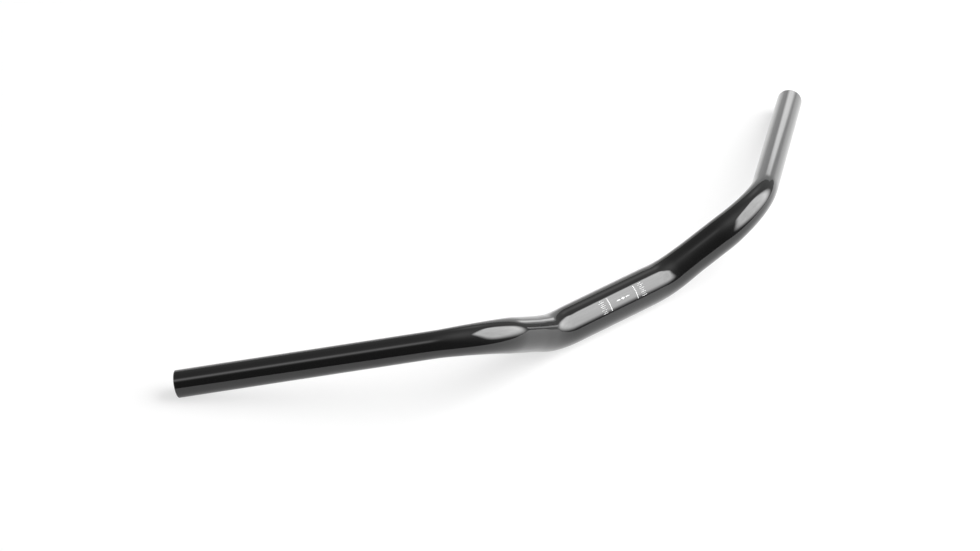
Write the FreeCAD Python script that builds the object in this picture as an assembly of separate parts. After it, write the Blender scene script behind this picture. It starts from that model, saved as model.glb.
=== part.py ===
import FreeCAD, Part
import math
import os

# Cruiser handlebar: one bent, taper-swaged and butted tube, open at both ends.
# Frame: origin at the middle of the stem clamp, X along the clamp to the rider's left,
# Y towards the rider, Z up.
# The bar lies as it comes to rest on a flat surface: on the clamp and on the rims of both ends.

# Tube section, in millimetres
clamp_diameter = 31.8
riser_diameter = 28.6
grip_diameter = 22.2
clamp_wall = 2.6
riser_wall = 2.4
grip_wall = 2.1
rim_chamfer = 0.5

# Lengths along the axis of the tube, in millimetres: the even sections,
# and how far the swage of the riser bend leads into it and runs on past it
clamp_length = 76.0
lead_in_length = 8.0
run_out_length = 18.0
riser_length = 26.0
grip_length = 207.0

# Radii of the bent axis, in millimetres
riser_bend_radius = 50.0
grip_bend_radius = 64.0

# Angles away from the clamp's axis, in degrees, and the riser's lean round that axis.
# The lean goes from the rider's side upwards, so the riser points up and ahead with the grips level.
riser_turn = 31.0
riser_lean = 130.5
grip_sweep = 42.0

# Swages: the share of each taper that eases into its straight cone at each end
easing_share = 0.15

# Sections of a swage: how far apart they are along the axis, and the arcs that each ring is made of
section_pitch = 10.0
ring_arcs = 4

along = FreeCAD.Vector(1, 0, 0)
clamp_radius = clamp_diameter / 2
riser_radius = riser_diameter / 2
grip_radius = grip_diameter / 2


def direction(turn, lean):
    """Unit vector turned away from X, and leaned round X from the rider's side upwards."""
    away = math.radians(turn)
    up = math.radians(lean)
    return FreeCAD.Vector(math.cos(away), math.sin(away) * math.cos(up), math.sin(away) * math.sin(up))


def heading(place):
    """Direction of travel at a place on the axis of the tube."""
    return place.Rotation.multVec(along)


def straight(start, length):
    """Straight stretch of the axis: its length and the place at a share of it."""
    def place_at(share):
        return FreeCAD.Placement(start.Base + heading(start) * length * share, start.Rotation)
    return length, place_at


def bend(start, heading_after, radius):
    """Round bend of the axis: its length and the place at a share of it."""
    pivot = heading(start).cross(heading_after).normalize()
    turn = heading(start).getAngle(heading_after)
    centre = start.Base + pivot.cross(heading(start)) * radius

    def place_at(share):
        turned = FreeCAD.Rotation(pivot, math.degrees(turn * share))
        return FreeCAD.Placement(centre + turned.multVec(start.Base - centre), turned * start.Rotation)
    return radius * turn, place_at


def far_end(stretches):
    """Place at the end of the last stretch."""
    length, place_at = stretches[-1]
    return place_at(1)


def riser_swage_axis(tilt):
    """Stretches of the left-hand axis from the clamp to the even riser, with the bar tilted ahead about X."""
    clamp_end = FreeCAD.Placement(along * clamp_length / 2, FreeCAD.Rotation())
    stretches = [straight(clamp_end, lead_in_length)]
    stretches.append(bend(far_end(stretches), direction(riser_turn, riser_lean - tilt), riser_bend_radius))
    stretches.append(straight(far_end(stretches), run_out_length))
    return stretches


def grip_swage_axis(tilt):
    """The one stretch of the left-hand axis from the even riser to the grip."""
    riser = straight(far_end(riser_swage_axis(tilt)), riser_length)
    return [bend(far_end([riser]), direction(grip_sweep, -tilt), grip_bend_radius)]


def rim_height(tilt):
    """Height of the lowest point of a grip's outer edge, inside the chamfer, for a tilt of the bar."""
    grip_start = far_end(grip_swage_axis(tilt))
    edge_centre = grip_start.Base + heading(grip_start) * (grip_length - rim_chamfer)
    return edge_centre.z - grip_radius * math.sqrt(1 - heading(grip_start).z ** 2)


def rest_tilt():
    """Tilt at which the rims of both grips lie on the same surface as the clamp."""
    too_flat = 0.0
    too_steep = 90.0
    close_enough = 1e-9
    while too_steep - too_flat > close_enough:
        tilt = (too_flat + too_steep) / 2
        if rim_height(tilt) > -clamp_radius:
            too_flat = tilt
        else:
            too_steep = tilt
    return too_flat


def eased(share):
    """Straight ramp from 0 to 1 that starts and ends level."""
    slope = 1 / (1 - easing_share)
    if share < easing_share:
        return slope * share ** 2 / (2 * easing_share)
    if share > 1 - easing_share:
        return 1 - slope * (1 - share) ** 2 / (2 * easing_share)
    return slope * (share - easing_share / 2)


def ring(place, radius):
    """Circle of equal arcs across the axis."""
    circle = Part.Circle(FreeCAD.Vector(), along, radius)
    step = 2 * math.pi / ring_arcs
    arcs = [Part.ArcOfCircle(circle, step * turn, step * (turn + 1)) for turn in range(ring_arcs)]
    wire = Part.Wire([arc.toShape() for arc in arcs])
    wire.Placement = place
    return wire


def swage(stretches, start_radius, end_radius):
    """One taper as solids, one for each stretch of the axis that it runs along."""
    whole_length = sum(length for length, place_at in stretches)
    travelled = 0.0
    solids = []
    for length, place_at in stretches:
        steps = math.ceil(length / section_pitch)
        rings = []
        for step in range(steps + 1):
            taper = eased((travelled + length * step / steps) / whole_length)
            rings.append(ring(place_at(step / steps), start_radius + (end_radius - start_radius) * taper))
        solids.append(Part.makeLoft(rings, True))
        travelled += length
    return solids


def rod(tilt, clamp_section, riser_section, grip_section):
    """Whole bar as a solid rod, from its radii at the clamp, the risers and the grips."""
    clamp = Part.makeCylinder(clamp_section, clamp_length, along * -clamp_length / 2, along)
    riser_start = far_end(riser_swage_axis(tilt))
    grip_start = far_end(grip_swage_axis(tilt))
    left_side = swage(riser_swage_axis(tilt), clamp_section, riser_section)
    left_side.append(Part.makeCylinder(riser_section, riser_length, riser_start.Base, heading(riser_start)))
    left_side += swage(grip_swage_axis(tilt), riser_section, grip_section)
    left_side.append(Part.makeCylinder(grip_section, grip_length, grip_start.Base, heading(grip_start)))
    right_side = [solid.mirror(FreeCAD.Vector(), along) for solid in left_side]
    return clamp.multiFuse(left_side + right_side)


def end_rims(tube, tilt):
    """Inner and outer edges of the tube's two open ends."""
    grip_start = far_end(grip_swage_axis(tilt))
    end_centre = grip_start.Base + heading(grip_start) * grip_length
    rims = []
    for edge in tube.Edges:
        middle = edge.CenterOfMass
        if abs(abs(middle.x) - end_centre.x) < rim_chamfer and abs(middle.z - end_centre.z) < rim_chamfer:
            rims.append(edge)
    return rims


def handlebar():
    """One tube with a chamfered rim at each open end."""
    tilt = rest_tilt()
    outside = rod(tilt, clamp_radius, riser_radius, grip_radius)
    inside = rod(tilt, clamp_radius - clamp_wall, riser_radius - riser_wall, grip_radius - grip_wall)
    tube = outside.cut(inside)
    return tube.makeChamfer(rim_chamfer, end_rims(tube, tilt))


os.makedirs("parts", exist_ok=True)
handlebar().exportStep("parts/handlebar_tube.step")
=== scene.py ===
"""Cruiser handlebar on a pale sweep: a bent, swaged tube, coated gloss black, with printed clamp marks."""

import logging
import math
from dataclasses import dataclass, field
from enum import Enum
from typing import Any

import bpy
from mathutils import Matrix, Quaternion, Vector

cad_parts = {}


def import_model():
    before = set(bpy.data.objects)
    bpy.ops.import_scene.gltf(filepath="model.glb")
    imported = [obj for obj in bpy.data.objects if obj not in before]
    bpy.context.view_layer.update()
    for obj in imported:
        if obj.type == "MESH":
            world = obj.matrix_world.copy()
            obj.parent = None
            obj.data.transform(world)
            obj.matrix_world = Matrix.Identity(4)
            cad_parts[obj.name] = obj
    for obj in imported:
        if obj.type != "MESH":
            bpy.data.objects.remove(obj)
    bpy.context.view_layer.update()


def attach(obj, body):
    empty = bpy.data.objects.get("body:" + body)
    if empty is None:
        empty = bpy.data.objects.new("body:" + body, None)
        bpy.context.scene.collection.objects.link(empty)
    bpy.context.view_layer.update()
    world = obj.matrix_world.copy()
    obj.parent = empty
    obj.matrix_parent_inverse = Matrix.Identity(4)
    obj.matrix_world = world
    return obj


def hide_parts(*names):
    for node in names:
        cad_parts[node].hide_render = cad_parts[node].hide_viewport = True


LOG = logging.getLogger("handlebar")
BODY = "root"
TUBE_NODE = "handlebar_tube"
COAT_SLOT = "gloss_black_coat"
DRAWN_LINES = "drawn_lines"
PHOTO_WIDTH = 980
WHITE = (1.0, 1.0, 1.0, 1.0)

# Points of a sheet seen from the side: how far back and how high each is
Profile = list[tuple[float, float]]


class Wall(Enum):
    """Walls of the tube, by the word that the labels of its sizes end in."""

    OUTSIDE = "Radius"
    INSIDE = "Bore"


class Wiring:
    """Adds and links the nodes of one node tree."""

    def __init__(self, tree: bpy.types.NodeTree) -> None:
        """Keep the tree that the nodes go into."""
        self.tree = tree

    def add(self, kind: str, inputs: dict[str | int, Any], **settings: Any) -> bpy.types.Node:
        """Add one node, set it and feed its inputs.

        Args:
            kind: Blender's name for the node type.
            inputs: A value, a node or a socket for each input, by name or index.
            settings: Properties of the node itself.

        Returns:
            The new node.
        """
        node = self.tree.nodes.new(kind)
        for name, value in settings.items():
            setattr(node, name, value)
        for key, value in inputs.items():
            self.feed(node.inputs[key], value)
        return node

    def feed(self, socket: bpy.types.NodeSocket, value: Any) -> None:
        """Link a node's first output or a socket to an input, or set its plain value.

        Args:
            socket: The input to feed.
            value: A node, an output socket or a plain value.
        """
        if isinstance(value, bpy.types.Node):
            value = value.outputs[0]
        if isinstance(value, bpy.types.NodeSocket):
            self.tree.links.new(value, socket)
        else:
            socket.default_value = value

    def math(self, operation: str, first: Any, second: Any = 0.0) -> bpy.types.NodeSocket:
        """Combine two numbers.

        Args:
            operation: The Math node's operation.
            first: The first number or socket.
            second: The second number or socket.

        Returns:
            The socket with the result.
        """
        return self.add("ShaderNodeMath", {0: first, 1: second}, operation=operation).outputs[0]

    def vector(self, operation: str, first: Any, second: Any = (0.0, 0.0, 0.0)) -> bpy.types.NodeSocket:
        """Combine two vectors.

        Args:
            operation: The Vector Math node's operation.
            first: The first vector or socket.
            second: The second vector or socket.

        Returns:
            The socket with the resulting vector.
        """
        return self.add("ShaderNodeVectorMath", {0: first, 1: second}, operation=operation).outputs[0]

    def stretch(self, direction: Any, length: Any) -> bpy.types.NodeSocket:
        """Scale a vector by a number.

        Args:
            direction: The vector or socket.
            length: The number or socket that it is multiplied by.

        Returns:
            The socket with the scaled vector.
        """
        inputs = {"Vector": direction, "Scale": length}
        return self.add("ShaderNodeVectorMath", inputs, operation="SCALE").outputs[0]

    def blend(self, share: Any, low: Any, high: Any) -> bpy.types.NodeSocket:
        """Go from one number to another as a share goes from 0 to 1.

        Args:
            share: The share or socket.
            low: The number at a share of 0.
            high: The number at a share of 1.

        Returns:
            The socket with the number between them.
        """
        return self.add("ShaderNodeMapRange", {"Value": share, "To Min": low, "To Max": high}).outputs[0]


class Recipe(Wiring):
    """Geometry Nodes tree with named sizes, which turns a host object into a plain mesh piece."""

    SOCKETS = {float: "NodeSocketFloat", int: "NodeSocketInt", bpy.types.Material: "NodeSocketMaterial"}

    def __init__(self, name: str, sizes: dict[str, Any]) -> None:
        """Make the tree and its named inputs.

        Args:
            name: The tree's name.
            sizes: The value of each input, by its label.
        """
        super().__init__(bpy.data.node_groups.new(name, "GeometryNodeTree"))
        sockets = self.tree.interface
        sockets.new_socket("Geometry", in_out="INPUT", socket_type="NodeSocketGeometry")
        sockets.new_socket("Geometry", in_out="OUTPUT", socket_type="NodeSocketGeometry")
        self.values: dict[str, Any] = {}
        for label, value in sizes.items():
            socket = sockets.new_socket(label, in_out="INPUT", socket_type=self.SOCKETS[type(value)])
            self.values[socket.identifier] = value
        self.source = self.tree.nodes.new("NodeGroupInput")
        self.result = self.tree.nodes.new("NodeGroupOutput")

    def size(self, label: str) -> bpy.types.NodeSocket:
        """Give the socket of a named input."""
        return self.source.outputs[label]

    def join(self, parts: list[Any]) -> bpy.types.Node:
        """Join shapes into one.

        Args:
            parts: The node or socket with each shape.

        Returns:
            The node with all of them.
        """
        joined = self.add("GeometryNodeJoinGeometry", {})
        for part in parts:
            self.feed(joined.inputs[0], part)
        return joined

    def finish(self, geometry: Any, finishes: list[tuple[str, Any]]) -> None:
        """End the tree with real geometry and its materials.

        Args:
            geometry: The node or socket with the finished shape.
            finishes: The label of each material's input and the faces that it goes on.
        """
        geometry = self.add("GeometryNodeRealizeInstances", {"Geometry": geometry})
        for label, faces in finishes:
            inputs = {"Geometry": geometry, "Selection": faces, "Material": self.size(label)}
            geometry = self.add("GeometryNodeSetMaterial", inputs)
        self.feed(self.result.inputs[0], geometry)

    def make(self, host: bpy.types.Object, name: str) -> bpy.types.Object:
        """Run the tree on a host object and keep the result as a plain mesh at the origin.

        Args:
            host: The object whose data goes into the tree. It is removed.
            name: The new piece's name.

        Returns:
            The new piece.
        """
        modifier = host.modifiers.new(self.tree.name, "NODES")
        modifier.node_group = self.tree
        for identifier, value in self.values.items():
            modifier[identifier] = value
        graph = bpy.context.evaluated_depsgraph_get()
        mesh = bpy.data.meshes.new_from_object(host.evaluated_get(graph), depsgraph=graph)
        host.modifiers.remove(modifier)
        bpy.data.objects.remove(host)
        mesh.name = name
        piece = bpy.data.objects.new(name, mesh)
        bpy.context.scene.collection.objects.link(piece)
        return piece


def shader_wiring(name: str) -> tuple[bpy.types.Material, Wiring, bpy.types.Node]:
    """Start a node material.

    Args:
        name: The material's name.

    Returns:
        The material, its wiring and its Principled shader.
    """
    material = bpy.data.materials.new(name)
    material.use_nodes = True
    wires = Wiring(material.node_tree)
    return material, wires, material.node_tree.nodes["Principled BSDF"]


def pattern(wires: Wiring, place: Any, scale: float, detail: float) -> bpy.types.NodeSocket:
    """Make soft clouds of noise.

    Args:
        wires: The material's wiring.
        place: The coordinates that the noise lies on.
        scale: Clouds per unit of those coordinates.
        detail: Octaves of finer noise.

    Returns:
        The socket with the noise, about 0 to 1.
    """
    inputs = {"Vector": place, "Scale": scale, "Detail": detail}
    return wires.add("ShaderNodeTexNoise", inputs).outputs[0]


def grey(wires: Wiring, share: Any, dark: float, light: float) -> bpy.types.Node:
    """Go from a dark grey to a light one as a share goes from 0 to 1.

    Args:
        wires: The material's wiring.
        share: The share or socket.
        dark: The level at a share of 0.
        light: The level at a share of 1.

    Returns:
        The node with the colour.
    """
    tone = wires.blend(share, dark, light)
    return wires.add("ShaderNodeCombineColor", {"Red": tone, "Green": tone, "Blue": tone})


def level_by_ray(wires: Wiring, straight: Any, mirrored: Any) -> bpy.types.NodeSocket:
    """Give a level to rays that look at a surface, and none to those that light others.

    Args:
        wires: The material's wiring.
        straight: The level for a ray that comes straight from the camera.
        mirrored: The level for a ray that comes by a mirror or through glass.

    Returns:
        The socket with the level.
    """
    rays = wires.add("ShaderNodeLightPath", {})
    by_mirror = wires.math("MAXIMUM", rays.outputs["Is Glossy Ray"], rays.outputs["Is Transmission Ray"])
    by_mirror = wires.math("MULTIPLY", by_mirror, mirrored)
    by_camera = wires.math("MULTIPLY", rays.outputs["Is Camera Ray"], straight)
    return wires.math("MAXIMUM", by_camera, by_mirror)


@dataclass(frozen=True)
class GlossCoat:
    """Gloss black coat: a deep colour coat under a clear lacquer, with a faint orange peel."""

    name: str = COAT_SLOT
    dark: float = 0.0035
    light: float = 0.0065
    smooth: float = 0.05
    dull: float = 0.11
    refraction: float = 1.5
    lacquer_roughness: float = 0.03
    peel_scale: float = 420.0
    peel_detail: float = 1.0
    peel_height: float = 0.0000045
    cloud_scale: float = 35.0
    cloud_detail: float = 4.0

    def material(self) -> bpy.types.Material:
        """Build the coat's material.

        Returns:
            The material.
        """
        material, wires, shader = shader_wiring(self.name)
        place = wires.add("ShaderNodeTexCoord", {}).outputs["Object"]
        clouds = pattern(wires, place, self.cloud_scale, self.cloud_detail)
        wires.feed(shader.inputs["Base Color"], grey(wires, clouds, self.dark, self.light))
        wires.feed(shader.inputs["Roughness"], wires.blend(clouds, self.smooth, self.dull))
        peel = pattern(wires, place, self.peel_scale, self.peel_detail)
        bump = wires.add("ShaderNodeBump", {"Height": peel, "Distance": self.peel_height})
        wires.feed(shader.inputs["Normal"], bump)
        wires.feed(shader.inputs["Coat Normal"], bump)
        shader.inputs["IOR"].default_value = self.refraction
        shader.inputs["Coat Weight"].default_value = 1.0
        shader.inputs["Coat IOR"].default_value = self.refraction
        shader.inputs["Coat Roughness"].default_value = self.lacquer_roughness
        return material


@dataclass(frozen=True)
class DrawnBore:
    """Bare aluminium inside of the tube, with fine lines along it from drawing."""

    name: str = "drawn_aluminium_bore"
    dark: float = 0.42
    light: float = 0.62
    smooth: float = 0.32
    dull: float = 0.5
    line_count: float = 26.0
    line_detail: float = 3.0
    line_height: float = 0.00001

    def material(self) -> bpy.types.Material:
        """Build the bore's material from the lines that the tube's mesh carries.

        Returns:
            The material.
        """
        material, wires, shader = shader_wiring(self.name)
        lines = wires.add("ShaderNodeAttribute", {}, attribute_name=DRAWN_LINES).outputs["Vector"]
        streaks = pattern(wires, lines, self.line_count, self.line_detail)
        wires.feed(shader.inputs["Base Color"], grey(wires, streaks, self.dark, self.light))
        wires.feed(shader.inputs["Roughness"], wires.blend(streaks, self.smooth, self.dull))
        bump = wires.add("ShaderNodeBump", {"Height": streaks, "Distance": self.line_height})
        wires.feed(shader.inputs["Normal"], bump)
        shader.inputs["Metallic"].default_value = 1.0
        return material


@dataclass(frozen=True)
class PrintInk:
    """White ink of the clamp marks, a little uneven where it took less."""

    name: str = "white_print_ink"
    thin: float = 0.78
    full: float = 0.9
    smooth: float = 0.3
    dull: float = 0.45
    grain_scale: float = 2600.0
    grain_detail: float = 2.0

    def material(self) -> bpy.types.Material:
        """Build the ink's material.

        Returns:
            The material.
        """
        material, wires, shader = shader_wiring(self.name)
        place = wires.add("ShaderNodeTexCoord", {}).outputs["Object"]
        specks = pattern(wires, place, self.grain_scale, self.grain_detail)
        wires.feed(shader.inputs["Base Color"], grey(wires, specks, self.thin, self.full))
        wires.feed(shader.inputs["Roughness"], wires.blend(specks, self.smooth, self.dull))
        return material


@dataclass(frozen=True)
class StudioPaper:
    """Pale paper of the sweep, lit from above and a little from behind, and glowing evenly to the camera,
    so that shadows on it stay pale.

    To rays from the gloss its glow is painted light, weaker than the camera sees: a painted falloff, least
    at the left and far away.
    """

    name: str = "pale_studio_paper"
    dark: float = 0.34
    light: float = 0.36
    roughness: float = 0.9
    cloud_scale: float = 3.0
    cloud_detail: float = 2.0
    backlight: float = 0.68
    # Painted light seen in the gloss: the paper's glow level at its left and at its right
    painted_glow_left: float = 0.36
    painted_glow_right: float = 0.53
    left_end: float = -0.35
    right_end: float = 0.05
    near_end: float = 0.1
    far_end: float = 0.6
    # Share of the painted glow that is left far away
    painted_glow_far_share: float = 0.5

    def material(self) -> bpy.types.Material:
        """Build the paper's material.

        Returns:
            The material.
        """
        material, wires, shader = shader_wiring(self.name)
        place = wires.add("ShaderNodeTexCoord", {}).outputs["Object"]
        clouds = pattern(wires, place, self.cloud_scale, self.cloud_detail)
        wires.feed(shader.inputs["Base Color"], grey(wires, clouds, self.dark, self.light))
        shader.inputs["Roughness"].default_value = self.roughness
        shader.inputs["Specular IOR Level"].default_value = 0.0
        shader.inputs["Emission Color"].default_value = WHITE
        # Painted light for rays from the gloss: the glow they see fades towards the left and far away, a
        # painted falloff of the light over the paper
        sides = wires.add("ShaderNodeSeparateXYZ", {0: place}).outputs
        across = wires.add("ShaderNodeMapRange", {
            "Value": sides["X"],
            "From Min": self.left_end,
            "From Max": self.right_end,
            "To Min": self.painted_glow_left,
            "To Max": self.painted_glow_right,
        })
        away = wires.add("ShaderNodeMapRange", {
            "Value": sides["Y"],
            "From Min": self.near_end,
            "From Max": self.far_end,
            "To Min": 1.0,
            "To Max": self.painted_glow_far_share,
        })
        mirrored = wires.math("MULTIPLY", across, away)
        wires.feed(shader.inputs["Emission Strength"], level_by_ray(wires, self.backlight, mirrored))
        return material


@dataclass
class Knot:
    """Point of the bar's axis, its direction there, and how far its handles reach back and on."""

    point: Vector
    way: Vector
    before: float
    after: float = 0.0

    def mirrored(self) -> "Knot":
        """Give the matching point on the other side of the clamp, for an axis that runs the same way."""
        across = Matrix.Diagonal((-1, 1, 1))
        return Knot(across @ self.point, -(across @ self.way), self.after, self.before)


@dataclass
class BarAxis:
    """Axis of the bar: straight runs joined by round bends, mirrored about the clamp.

    Lengths are in metres and angles in degrees. The tilt and the tapers' lengths are worked out.
    """

    clamp_length: float = 0.076
    lead_in_length: float = 0.008
    run_out_length: float = 0.018
    riser_length: float = 0.026
    grip_length: float = 0.207
    riser_bend_radius: float = 0.05
    grip_bend_radius: float = 0.064
    riser_turn: float = 31.0
    riser_lean: float = 130.5
    grip_sweep: float = 42.0
    rim_chamfer: float = 0.0005
    tilt_tolerance: float = 0.000001
    curve_steps: int = 64
    rest_tilt: float = 0.0
    riser_taper: float = 0.0
    grip_taper: float = 0.0
    knots: list[Knot] = field(default_factory=list)

    def heading(self, turn: float, lean: float) -> Vector:
        """Direction turned away from the clamp's axis and leaned round it, as the bar lies at rest.

        Args:
            turn: Degrees away from the clamp's axis.
            lean: Degrees round that axis, from the rider's side upwards.

        Returns:
            The unit vector.
        """
        away = math.radians(turn)
        up = math.radians(lean - self.rest_tilt)
        return Vector((math.cos(away), math.sin(away) * math.cos(up), math.sin(away) * math.sin(up)))

    def run(self, length: float) -> None:
        """Go straight on.

        Args:
            length: How far, in metres.
        """
        last = self.knots[-1]
        last.after = length / 3
        self.knots.append(Knot(last.point + last.way * length, last.way, last.after))

    def bend(self, after: Vector, radius: float) -> float:
        """Turn round an arc.

        Args:
            after: The direction at the end of the bend.
            radius: The bend's radius, in metres.

        Returns:
            The length of the bend.
        """
        last = self.knots[-1]
        turn = last.way.angle(after)
        last.after = 4 / 3 * math.tan(turn / 4) * radius
        inward = (after - last.way * last.way.dot(after)).normalized()
        end = last.point + last.way * math.sin(turn) * radius + inward * (1 - math.cos(turn)) * radius
        self.knots.append(Knot(end, after, last.after))
        return turn * radius

    def trace(self) -> None:
        """Trace the left half of the axis, from the middle of the clamp to the start of the rim's chamfer.

        The first knot reaches back as far as it does on, so that the two halves meet in one straight line.
        """
        half_clamp = self.clamp_length / 2
        self.knots = [Knot(Vector(), Vector((1, 0, 0)), half_clamp / 3)]
        self.run(half_clamp)
        self.run(self.lead_in_length)
        riser_arc = self.bend(self.heading(self.riser_turn, self.riser_lean), self.riser_bend_radius)
        self.run(self.run_out_length)
        self.run(self.riser_length)
        self.grip_taper = self.bend(self.heading(self.grip_sweep, 0.0), self.grip_bend_radius)
        self.run(self.grip_length - self.rim_chamfer)
        self.riser_taper = self.lead_in_length + riser_arc + self.run_out_length

    def settle(self, clamp_radius: float, grip_radius: float) -> None:
        """Tilt the bar ahead until the rims of both ends lie on the floor with the clamp.

        Args:
            clamp_radius: The clamp's outer radius.
            grip_radius: The grips' outer radius.
        """
        too_flat = 0.0
        too_steep = 90.0
        while too_steep - too_flat > self.tilt_tolerance:
            self.rest_tilt = (too_flat + too_steep) / 2
            self.trace()
            end = self.knots[-1]
            rim_height = end.point.z - grip_radius * math.sqrt(1 - end.way.z ** 2)
            if rim_height > -clamp_radius:
                too_flat = self.rest_tilt
            else:
                too_steep = self.rest_tilt

    def curve(self) -> bpy.types.Object:
        """Draw the whole axis, end to end, as it was traced.

        Returns:
            The curve object.
        """
        right_half = [knot.mirrored() for knot in reversed(self.knots[1:])]
        whole = right_half + self.knots
        data = bpy.data.curves.new("bar_axis", "CURVE")
        data.dimensions = "3D"
        data.resolution_u = self.curve_steps
        spline = data.splines.new("BEZIER")
        spline.bezier_points.add(len(whole) - 1)
        for drawn, knot in zip(spline.bezier_points, whole):
            drawn.handle_left_type = drawn.handle_right_type = "FREE"
            drawn.co = knot.point
            drawn.handle_left = knot.point - knot.way * knot.before
            drawn.handle_right = knot.point + knot.way * knot.after
        line = bpy.data.objects.new("bar_axis", data)
        bpy.context.scene.collection.objects.link(line)
        return line


@dataclass
class SwagedTube:
    """The handlebar: one tube, swaged from clamp to riser and from riser to grip, open at both ends."""

    axis: BarAxis
    coat: GlossCoat
    bore: DrawnBore
    clamp_radius: float = 0.0159
    riser_radius: float = 0.0143
    grip_radius: float = 0.0111
    clamp_bore: float = 0.0133
    riser_bore: float = 0.0119
    grip_bore: float = 0.009
    easing_share: float = 0.15
    station_pitch: float = 0.0025
    sides: int = 96
    weld_gap: float = 0.00001
    sharp_angle: float = 0.5
    piece: bpy.types.Object | None = None

    def recipe(self) -> Recipe:
        """Write the tree that sweeps both walls along the axis and closes the rims.

        Returns:
            The recipe.
        """
        tree = Recipe("swaged_tube", {
            "Clamp Radius": self.clamp_radius,
            "Riser Radius": self.riser_radius,
            "Grip Radius": self.grip_radius,
            "Clamp Bore": self.clamp_bore,
            "Riser Bore": self.riser_bore,
            "Grip Bore": self.grip_bore,
            "Riser Taper Start": self.axis.clamp_length / 2,
            "Riser Taper Length": self.axis.riser_taper,
            "Riser Length": self.axis.riser_length,
            "Grip Taper Length": self.axis.grip_taper,
            "Easing Share": self.easing_share,
            "Station Pitch": self.station_pitch,
            "Sides": self.sides,
            "Rim Chamfer": self.axis.rim_chamfer,
            "Coat": self.coat.material(),
            "Bore Finish": self.bore.material(),
        })
        stations = self.stations(tree)
        riser_start = tree.math("ADD", tree.size("Riser Taper Start"), tree.size("Riser Taper Length"))
        riser_end = tree.math("ADD", riser_start, tree.size("Riser Length"))
        swages = (
            self.taper(tree, tree.size("Riser Taper Start"), tree.size("Riser Taper Length")),
            self.taper(tree, riser_end, tree.size("Grip Taper Length")),
        )
        outside = self.wall(tree, stations, self.radius(tree, swages, Wall.OUTSIDE))
        inside = self.wall(tree, stations, self.radius(tree, swages, Wall.INSIDE))
        inside = tree.add("GeometryNodeFlipFaces", {"Mesh": self.drawn(tree, inside, stations)})
        marked = tree.add("GeometryNodeCaptureAttribute", {"Geometry": inside}, domain="FACE")
        marked.capture_items.new("BOOLEAN", "In Bore")
        marked.inputs["In Bore"].default_value = True
        joined = tree.join([marked.outputs["Geometry"], self.rims(tree, outside, stations)])
        welded = tree.add("GeometryNodeMergeByDistance", {"Geometry": joined, "Distance": self.weld_gap})
        angle = tree.add("GeometryNodeInputMeshEdgeAngle", {})
        creases = tree.math("GREATER_THAN", angle, self.sharp_angle)
        inputs = {"Geometry": welded, "Selection": creases, "Shade Smooth": False}
        shaded = tree.add("GeometryNodeSetShadeSmooth", inputs, domain="EDGE")
        tree.finish(shaded, [("Coat", True), ("Bore Finish", marked.outputs["In Bore"])])
        return tree

    def stations(self, tree: Recipe) -> bpy.types.Node:
        """Space stations evenly along the axis, and note the centre, the way out and the length at each.

        Args:
            tree: The recipe.

        Returns:
            The node with the axis, its stations and what is noted at them.
        """
        inputs = {"Curve": tree.source.outputs["Geometry"], "Length": tree.size("Station Pitch")}
        axis = tree.add("GeometryNodeResampleCurve", inputs, mode="LENGTH")
        axis = tree.add("GeometryNodeSetCurveNormal", {"Curve": axis}, mode="Z_UP")
        travelled = tree.add("GeometryNodeSplineParameter", {}).outputs
        side = tree.math("SIGN", tree.math("SUBTRACT", travelled["Factor"], 0.5))
        outward = tree.stretch(tree.add("GeometryNodeInputTangent", {}), side)
        stations = tree.add("GeometryNodeCaptureAttribute", {"Geometry": axis})
        notes = [
            ("Centre", "VECTOR", tree.add("GeometryNodeInputPosition", {})),
            ("Outward", "VECTOR", outward),
            ("Along", "FLOAT", travelled["Length"]),
        ]
        for label, kind, value in notes:
            stations.capture_items.new(kind, label)
            tree.feed(stations.inputs[label], value)
        return stations

    def taper(self, tree: Recipe, start: Any, length: Any) -> bpy.types.NodeSocket:
        """Work out how far a swage has gone at each station: a straight ramp with eased ends.

        Args:
            tree: The recipe.
            start: Where the swage starts, from the middle of the clamp.
            length: Its length along the axis.

        Returns:
            The socket with the share of the taper, 0 before the swage and 1 after it.
        """
        along = tree.add("GeometryNodeSplineParameter", {}).outputs["Length"]
        whole = tree.add("GeometryNodeSplineLength", {}).outputs["Length"]
        middle = tree.math("MULTIPLY", whole, 0.5)
        from_middle = tree.math("ABSOLUTE", tree.math("SUBTRACT", along, middle))
        past_start = tree.math("SUBTRACT", from_middle, start)
        ramp = tree.add("ShaderNodeClamp", {"Value": tree.math("DIVIDE", past_start, length)}).outputs[0]
        # Each eased end is a square of the ramp that runs into the straight stretch at the same slope
        easing = tree.size("Easing Share")
        started = tree.math("MINIMUM", ramp, easing)
        ahead = tree.math("SUBTRACT", tree.math("MULTIPLY", ramp, 2.0), started)
        rise = tree.math("MULTIPLY", started, ahead)
        steady = tree.math("SUBTRACT", 1.0, easing)
        late = tree.math("MAXIMUM", tree.math("SUBTRACT", ramp, steady), 0.0)
        eased = tree.math("SUBTRACT", rise, tree.math("MULTIPLY", late, late))
        slope = tree.math("MULTIPLY", tree.math("MULTIPLY", easing, steady), 2.0)
        return tree.math("DIVIDE", eased, slope)

    def radius(self, tree: Recipe, swages: tuple[Any, Any], wall: Wall) -> bpy.types.NodeSocket:
        """Narrow a wall of the tube along both swages.

        Args:
            tree: The recipe.
            swages: How far the riser's and the grip's swages have gone.
            wall: The wall.

        Returns:
            The socket with the wall's radius.
        """
        to_riser, to_grip = swages
        sections = ("Clamp", "Riser", "Grip")
        clamp, riser, grip = (tree.size(f"{section} {wall.value}") for section in sections)
        return tree.blend(to_grip, tree.blend(to_riser, clamp, riser), grip)

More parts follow.
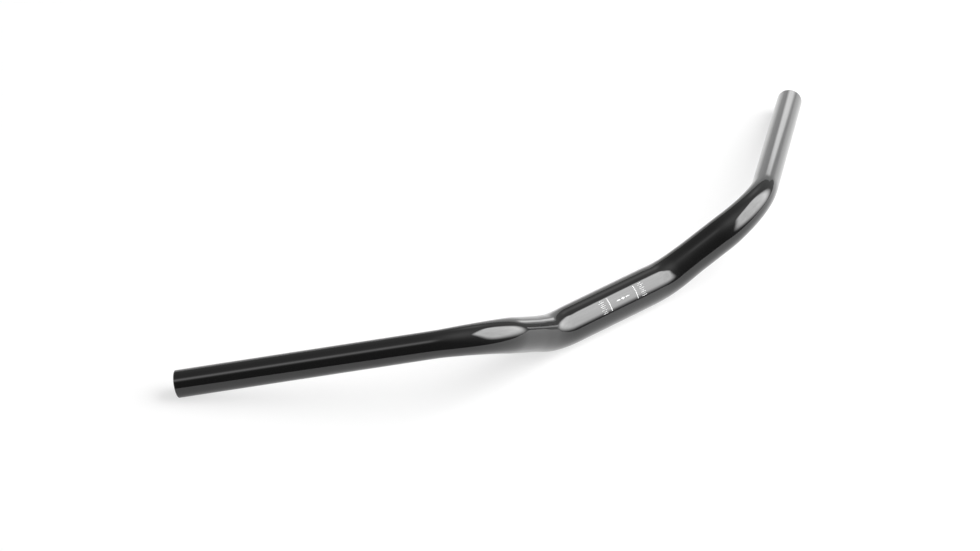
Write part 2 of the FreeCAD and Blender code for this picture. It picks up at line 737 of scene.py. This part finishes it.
    def wall(self, tree: Recipe, stations: bpy.types.Node, radius: Any) -> bpy.types.Node:
        """Sweep a ring along the axis.

        Args:
            tree: The recipe.
            stations: The node with the axis and its stations.
            radius: The ring's radius at each station.

        Returns:
            The node with the open tube.
        """
        circle = {"Resolution": tree.size("Sides"), "Radius": 1.0}
        ring = tree.add("GeometryNodeCurvePrimitiveCircle", circle)
        inputs = {"Curve": stations.outputs["Geometry"], "Profile Curve": ring, "Scale": radius}
        return tree.add("GeometryNodeCurveToMesh", inputs)

    def drawn(self, tree: Recipe, inside: Any, stations: bpy.types.Node) -> bpy.types.Node:
        """Note on the inner wall where the lines of its drawing run: quick round the tube, slow along it.

        Args:
            tree: The recipe.
            inside: The inner wall.
            stations: The node with the noted centre and length along the axis.

        Returns:
            The node with the inner wall.
        """
        place = tree.add("GeometryNodeInputPosition", {})
        round_tube = tree.vector("NORMALIZE", tree.vector("SUBTRACT", place, stations.outputs["Centre"]))
        along = tree.add("ShaderNodeCombineXYZ", {"X": stations.outputs["Along"]})
        lines = tree.vector("ADD", round_tube, along)
        inputs = {"Geometry": inside, "Name": DRAWN_LINES, "Value": lines}
        return tree.add("GeometryNodeStoreNamedAttribute", inputs, data_type="FLOAT_VECTOR", domain="POINT")

    def rims(self, tree: Recipe, outside: Any, stations: bpy.types.Node) -> bpy.types.Node:
        """Turn the outer wall in over both ends: a chamfer, the flat end of the wall and a chamfer inside.

        Args:
            tree: The recipe.
            outside: The outer wall.
            stations: The node with the noted centre and the way out of the tube.

        Returns:
            The node with the outer wall and its rims.
        """
        outward = stations.outputs["Outward"]
        place = tree.add("GeometryNodeInputPosition", {})
        inward = tree.vector("NORMALIZE", tree.vector("SUBTRACT", stations.outputs["Centre"], place))
        chamfer = tree.size("Rim Chamfer")
        thickness = tree.math("SUBTRACT", tree.size("Grip Radius"), tree.size("Grip Bore"))
        flat = tree.math("SUBTRACT", thickness, tree.math("MULTIPLY", chamfer, 2.0))
        turned_in = tree.stretch(tree.vector("ADD", inward, outward), chamfer)
        turned_back = tree.stretch(tree.vector("SUBTRACT", inward, outward), chamfer)
        faces_beside = tree.add("GeometryNodeInputMeshEdgeNeighbors", {})
        edge = tree.math("LESS_THAN", faces_beside, 2.0)
        mesh = outside
        for step in (turned_in, tree.stretch(inward, flat), turned_back):
            inputs = {"Mesh": mesh, "Selection": edge, "Offset": step, "Offset Scale": 1.0}
            mesh = tree.add("GeometryNodeExtrudeMesh", inputs, mode="EDGES")
            edge = mesh.outputs["Top"]
        return mesh

    def build(self) -> bpy.types.Object:
        """Make the tube's mesh, with the bar lying at rest.

        Returns:
            The tube.
        """
        self.axis.settle(self.clamp_radius, self.grip_radius)
        self.piece = self.recipe().make(self.axis.curve(), "handlebar_tube_skin")
        return self.piece

    def dress(self) -> None:
        """Put the tube on the frame in place of its solid."""
        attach(self.piece, BODY)
        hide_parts(TUBE_NODE)


@dataclass
class ClampMarks:
    """White marks printed round the clamp: two clamp lines, a scale outside each and a centre mark."""

    ink: PrintInk
    bar_radius: float
    facing: float = 134.0
    centre: float = 0.0048
    ink_height: float = 0.00003
    line_spacing: float = 0.0277
    line_height: float = 0.0112
    line_width: float = 0.00068
    line_faces: int = 24
    tick_count: int = 8
    tick_pitch: float = 0.00155
    tick_length: float = 0.005
    tick_width: float = 0.00028
    tick_faces: int = 1
    short_tick_share: float = 0.6
    scale_gap: float = 0.0042
    dash_length: float = 0.0038
    dash_width: float = 0.0007
    dash_spacing: float = 0.0094
    dash_faces: int = 4
    lozenge_length: float = 0.0036
    lozenge_height: float = 0.0022
    lozenge_cuts: int = 2
    piece: bpy.types.Object | None = None

    def recipe(self) -> Recipe:
        """Write the tree that lays the marks out flat and wraps them round the clamp.

        Returns:
            The recipe.
        """
        tree = Recipe("clamp_marks", {
            "Bar Radius": self.bar_radius,
            "Facing": math.radians(self.facing),
            "Centre": self.centre,
            "Ink Height": self.ink_height,
            "Line Spacing": self.line_spacing,
            "Line Height": self.line_height,
            "Line Width": self.line_width,
            "Tick Count": self.tick_count,
            "Tick Pitch": self.tick_pitch,
            "Tick Length": self.tick_length,
            "Tick Width": self.tick_width,
            "Short Tick Share": self.short_tick_share,
            "Scale Gap": self.scale_gap,
            "Dash Length": self.dash_length,
            "Dash Width": self.dash_width,
            "Dash Spacing": self.dash_spacing,
            "Lozenge Length": self.lozenge_length,
            "Lozenge Height": self.lozenge_height,
            "Ink": self.ink.material(),
        })
        line = self.stroke(tree, tree.size("Line Width"), tree.size("Line Height"), self.line_faces)
        dash = self.stroke(tree, tree.size("Dash Length"), tree.size("Dash Width"), self.dash_faces)
        gaps = tree.math("MULTIPLY", tree.size("Scale Gap"), 2.0)
        spread = tree.math("ADD", tree.size("Line Spacing"), gaps)
        spread = tree.math("ADD", spread, tree.size("Tick Length"))
        joined = tree.join([
            self.pair(tree, line, tree.size("Line Spacing")),
            self.pair(tree, dash, tree.size("Dash Spacing")),
            self.pair(tree, self.scale(tree), spread),
            self.lozenge(tree),
        ])
        flat = tree.add("GeometryNodeRealizeInstances", {"Geometry": joined})
        tree.finish(self.wrap(tree, flat), [("Ink", True)])
        return tree

    def stroke(self, tree: Recipe, length: Any, width: Any, faces: int) -> bpy.types.Node:
        """Make one straight stroke of ink, lying flat.

        Args:
            tree: The recipe.
            length: Its size along the bar.
            width: Its size round the bar.
            faces: Faces round the bar, so that it can bend.

        Returns:
            The node with the stroke.
        """
        size = tree.add("ShaderNodeCombineXYZ", {"X": length, "Y": width, "Z": tree.size("Ink Height")})
        inputs = {"Size": size, "Vertices X": 2, "Vertices Y": faces + 1, "Vertices Z": 2}
        return tree.add("GeometryNodeMeshCube", inputs)

    def pair(self, tree: Recipe, mark: Any, spacing: Any) -> bpy.types.Node:
        """Put a mark on each side of the centre.

        Args:
            tree: The recipe.
            mark: The mark.
            spacing: The distance between the two, along the bar.

        Returns:
            The node with both.
        """
        start = tree.add("ShaderNodeCombineXYZ", {"X": tree.math("MULTIPLY", spacing, -0.5)})
        step = tree.add("ShaderNodeCombineXYZ", {"X": spacing})
        sides = tree.add("GeometryNodeMeshLine", {"Count": 2, "Start Location": start, "Offset": step})
        return tree.add("GeometryNodeInstanceOnPoints", {"Points": sides, "Instance": mark})

    def scale(self, tree: Recipe) -> bpy.types.Node:
        """Stack ticks round the bar, every other one shorter.

        Args:
            tree: The recipe.

        Returns:
            The node with the ticks.
        """
        tick = self.stroke(tree, tree.size("Tick Length"), tree.size("Tick Width"), self.tick_faces)
        count = tree.size("Tick Count")
        pitch = tree.size("Tick Pitch")
        reach = tree.math("MULTIPLY", tree.math("SUBTRACT", count, 1.0), pitch)
        start = tree.add("ShaderNodeCombineXYZ", {"Y": tree.math("MULTIPLY", reach, -0.5)})
        step = tree.add("ShaderNodeCombineXYZ", {"Y": pitch})
        places = tree.add("GeometryNodeMeshLine", {"Count": count, "Start Location": start, "Offset": step})
        odd = tree.math("MODULO", tree.add("GeometryNodeInputIndex", {}), 2.0)
        share = tree.blend(odd, 1.0, tree.size("Short Tick Share"))
        sizes = tree.add("ShaderNodeCombineXYZ", {"X": share, "Y": 1.0, "Z": 1.0})
        inputs = {"Points": places, "Instance": tick, "Scale": sizes}
        return tree.add("GeometryNodeInstanceOnPoints", inputs)

    def lozenge(self, tree: Recipe) -> bpy.types.Node:
        """Make the small lozenge at the centre: a four-sided disc one unit across, stretched to its size.

        Args:
            tree: The recipe.

        Returns:
            The node with the lozenge.
        """
        inputs = {"Vertices": 4, "Radius": 0.5, "Depth": tree.size("Ink Height")}
        disc = tree.add("GeometryNodeMeshCylinder", inputs, fill_type="TRIANGLE_FAN")
        sides = {"X": tree.size("Lozenge Length"), "Y": tree.size("Lozenge Height"), "Z": 1.0}
        sizes = tree.add("ShaderNodeCombineXYZ", sides)
        shape = tree.add("GeometryNodeTransform", {"Geometry": disc, "Scale": sizes})
        return tree.add("GeometryNodeSubdivideMesh", {"Mesh": shape, "Level": self.lozenge_cuts})

    def wrap(self, tree: Recipe, flat: Any) -> bpy.types.Node:
        """Wrap the flat marks round the clamp.

        Args:
            tree: The recipe.
            flat: The marks, with X along the bar, Y round it and Z out of it.

        Returns:
            The node with the wrapped marks.
        """
        place = tree.add("ShaderNodeSeparateXYZ", {0: tree.add("GeometryNodeInputPosition", {})}).outputs
        turn = tree.math("DIVIDE", place["Y"], tree.size("Bar Radius"))
        angle = tree.math("SUBTRACT", tree.size("Facing"), turn)
        radius = tree.math("ADD", tree.size("Bar Radius"), place["Z"])
        wrapped = tree.add("ShaderNodeCombineXYZ", {
            "X": tree.math("ADD", place["X"], tree.size("Centre")),
            "Y": tree.math("MULTIPLY", radius, tree.math("COSINE", angle)),
            "Z": tree.math("MULTIPLY", radius, tree.math("SINE", angle)),
        })
        return tree.add("GeometryNodeSetPosition", {"Geometry": flat, "Position": wrapped})

    def build(self) -> bpy.types.Object:
        """Make the marks' mesh.

        Returns:
            The marks.
        """
        host = bpy.data.objects.new("clamp_marks_host", bpy.data.meshes.new("clamp_marks_host"))
        bpy.context.scene.collection.objects.link(host)
        self.piece = self.recipe().make(host, "clamp_marks")
        return self.piece

    def dress(self) -> None:
        """Put the marks on the frame."""
        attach(self.piece, BODY)


def towards(azimuth: float, elevation: float) -> Vector:
    """Direction from the bar, with azimuth 0 ahead of it and 90 to the rider's left.

    Args:
        azimuth: Degrees round the vertical.
        elevation: Degrees above the horizon.

    Returns:
        The unit vector.
    """
    turn = math.radians(azimuth)
    rise = math.radians(elevation)
    return Vector((math.sin(turn) * math.cos(rise), -math.cos(turn) * math.cos(rise), math.sin(rise)))


@dataclass(frozen=True)
class Softbox:
    """One flat soft light of creased cloth, placed by its direction from the bar."""

    name: str
    azimuth: float
    elevation: float
    distance: float
    facing_azimuth: float
    facing_elevation: float
    width: float
    height: float
    radiance: float
    even_share: float
    roll: float = 0.0
    squareness: float = 3.9
    crease_count: float = 7.0
    crease_detail: float = 3.0
    crease_low: float = 0.72
    crease_high: float = 1.1

    def level(self, wires: Wiring) -> bpy.types.NodeSocket:
        """Work out the light's level over its cloth: creased, brightest in the middle, faded at the rim.

        Args:
            wires: The light's wiring.

        Returns:
            The socket with the level.
        """
        place = wires.add("ShaderNodeNewGeometry", {}).outputs["Parametric"]
        from_middle = wires.vector("ABSOLUTE", wires.vector("SUBTRACT", place, (0.5, 0.5, 0.0)))
        sides = wires.add("ShaderNodeSeparateXYZ", {0: wires.stretch(from_middle, 2.0)}).outputs
        across, along = (wires.math("POWER", sides[side], self.squareness) for side in ("X", "Y"))
        reach = wires.math("POWER", wires.math("ADD", across, along), 1 / self.squareness)
        inputs = {"Value": reach, "From Min": 1.0, "From Max": self.even_share}
        fade = wires.add("ShaderNodeMapRange", inputs, interpolation_type="SMOOTHSTEP")
        clouds = pattern(wires, place, self.crease_count, self.crease_detail)
        return wires.math("MULTIPLY", fade, wires.blend(clouds, self.crease_low, self.crease_high))

    def hang(self) -> None:
        """Hang the light in the studio."""
        lamp = bpy.data.lights.new(self.name, "AREA")
        lamp.shape = "RECTANGLE"
        lamp.size = self.width
        lamp.size_y = self.height
        lamp.energy = self.radiance * math.pi * self.width * self.height
        lamp.use_nodes = True
        wires = Wiring(lamp.node_tree)
        wires.feed(lamp.node_tree.nodes["Emission"].inputs["Strength"], self.level(wires))
        holder = bpy.data.objects.new(self.name, lamp)
        holder.location = towards(self.azimuth, self.elevation) * self.distance
        away = towards(self.facing_azimuth, self.facing_elevation)
        upright = away.to_track_quat("Z", "Y")
        holder.rotation_mode = "QUATERNION"
        holder.rotation_quaternion = Quaternion(away, math.radians(self.roll)) @ upright
        holder.visible_camera = False
        bpy.context.scene.collection.objects.link(holder)


@dataclass(frozen=True)
class Glow:
    """One soft patch of light in the room round the set, by its direction from the bar."""

    azimuth: float
    elevation: float
    sharpness: float
    level: float

    def light(self, wires: Wiring, way: Any) -> bpy.types.NodeSocket:
        """Work out the patch's light in a direction.

        Args:
            wires: The world's wiring.
            way: The socket with the direction.

        Returns:
            The socket with the level.
        """
        inputs = {0: way, 1: towards(self.azimuth, self.elevation)}
        near = wires.add("ShaderNodeVectorMath", inputs, operation="DOT_PRODUCT").outputs["Value"]
        near = wires.math("POWER", wires.math("MAXIMUM", near, 0.0), self.sharpness)
        return wires.math("MULTIPLY", near, self.level)


KEY_SOFTBOX = Softbox(
    name="key_softbox",
    azimuth=54.1,
    elevation=52.5,
    distance=2.4,
    facing_azimuth=50.5,
    facing_elevation=7.9,
    width=3.28,
    height=3.97,
    radiance=5.6,
    even_share=0.6,
    roll=-10.4,
)
SIDE_CARD = Softbox(
    name="side_card",
    azimuth=119.5,
    elevation=7.0,
    distance=0.71,
    facing_azimuth=119.5,
    facing_elevation=0.0,
    width=0.2,
    height=0.2,
    radiance=1.5,
    even_share=0.3,
)
ROOM_GLOWS = (
    Glow(azimuth=-10.0, elevation=81.0, sharpness=11.0, level=0.36),
    Glow(azimuth=136.0, elevation=41.0, sharpness=90.0, level=0.34),
    Glow(azimuth=-88.0, elevation=55.0, sharpness=80.0, level=1.15),
    Glow(azimuth=90.0, elevation=41.0, sharpness=1.0, level=0.24),
)


@dataclass
class Studio:
    """Pale sweep, soft lights, dim room and camera."""

    paper: StudioPaper
    floor_height: float
    paper_turn: float = 30.0
    half_width: float = 1.45
    front: float = -0.26
    back: float = 1.1
    surround: float = 3.0
    sweep_radius: float = 0.5
    sweep_steps: int = 24
    wall_height: float = 0.62
    room_level: float = 0.08
    camera_place: tuple[float, float, float] = (-1.356662, -1.541063, 1.514398)
    camera_pitch: float = 35.8999
    camera_yaw: float = 38.6532
    camera_reach: float = 50.0
    focal_pixels: float = 3138.5
    sensor: float = 36.0
    lights: tuple[Softbox, ...] = (KEY_SOFTBOX, SIDE_CARD)
    glows: tuple[Glow, ...] = ROOM_GLOWS

    def lay(self, name: str, rows: Profile, left: float, right: float) -> bpy.types.Object:
        """Lay one sheet of the paper, turned to face the camera.

        Args:
            name: The sheet's name.
            rows: How far back and how high each row of its points is.
            left: Its left edge.
            right: Its right edge.

        Returns:
            The sheet.
        """
        turn = Matrix.Rotation(-math.radians(self.paper_turn), 3, "Z")
        points = []
        for back, height in rows:
            for side in (left, right):
                points.append(turn @ Vector((side, back, height + self.floor_height)))
        starts = range(0, len(points) - 2, 2)
        faces = [(start, start + 1, start + 3, start + 2) for start in starts]
        mesh = bpy.data.meshes.new(name)
        mesh.from_pydata(points, [], faces)
        for face in mesh.polygons:
            face.use_smooth = True
        sheet = bpy.data.objects.new(name, mesh)
        bpy.context.scene.collection.objects.link(sheet)
        return sheet

    def profile(self) -> Profile:
        """Draw the sweep from the side: flat under the bar, then round and up behind it.

        Returns:
            How far back and how high each point is.
        """
        points = [(self.front, 0.0)]
        for step in range(self.sweep_steps + 1):
            turn = math.pi / 2 * step / self.sweep_steps
            back = self.back + math.sin(turn) * self.sweep_radius
            points.append((back, (1 - math.cos(turn)) * self.sweep_radius))
        points.append((self.back + self.sweep_radius, self.wall_height))
        return points

    def sweep(self) -> None:
        """Roll out the paper: the sweep itself, and a surround of it that the gloss doesn't mirror."""
        ahead = [(-self.surround, 0.0), (self.front, 0.0)]
        beside = [(self.front, 0.0), (self.surround, 0.0)]
        surround = [
            self.lay("floor_ahead", ahead, -self.surround, self.surround),
            self.lay("floor_left", beside, -self.surround, -self.half_width),
            self.lay("floor_right", beside, self.half_width, self.surround),
        ]
        for sheet in surround:
            sheet.visible_glossy = False
        paper = self.paper.material()
        sweep = self.lay("studio_sweep", self.profile(), -self.half_width, self.half_width)
        for sheet in (sweep, *surround):
            sheet.data.materials.append(paper)

    def room(self) -> None:
        """Make the dim room round the set, with a few lighter patches."""
        world = bpy.data.worlds.new("dim_room")
        world.use_nodes = True
        wires = Wiring(world.node_tree)
        way = wires.add("ShaderNodeTexCoord", {}).outputs["Generated"]
        level = self.room_level
        for glow in self.glows:
            level = wires.math("ADD", level, glow.light(wires, way))
        backdrop = world.node_tree.nodes["Background"]
        backdrop.inputs["Color"].default_value = WHITE
        wires.feed(backdrop.inputs["Strength"], level)
        bpy.context.scene.world = world

    def camera(self) -> None:
        """Set the camera where the picture was taken from."""
        data = bpy.data.cameras.new("camera")
        data.sensor_width = self.sensor
        data.lens = self.focal_pixels * self.sensor / PHOTO_WIDTH
        data.clip_end = self.camera_reach
        camera = bpy.data.objects.new("camera", data)
        camera.location = self.camera_place
        camera.rotation_euler = (math.radians(90 - self.camera_pitch), 0.0, math.radians(-self.camera_yaw))
        bpy.context.scene.collection.objects.link(camera)
        bpy.context.scene.camera = camera

    def build(self) -> None:
        """Set up the whole studio."""
        self.sweep()
        for light in self.lights:
            light.hang()
        self.room()
        self.camera()
        bpy.context.scene.view_settings.view_transform = "Standard"


def main() -> None:
    """Build the handlebar and its studio."""
    logging.basicConfig(level=logging.INFO, format="%(name)s: %(message)s")
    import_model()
    tube = SwagedTube(BarAxis(), GlossCoat(), DrawnBore())
    marks = ClampMarks(PrintInk(), tube.clamp_radius)
    for assembly in (tube, marks):
        piece = assembly.build()
        assembly.dress()
        LOG.info("%s: %d faces", piece.name, len(piece.data.polygons))
    Studio(StudioPaper(), -tube.clamp_radius).build()


if __name__ == "__main__":
    main()
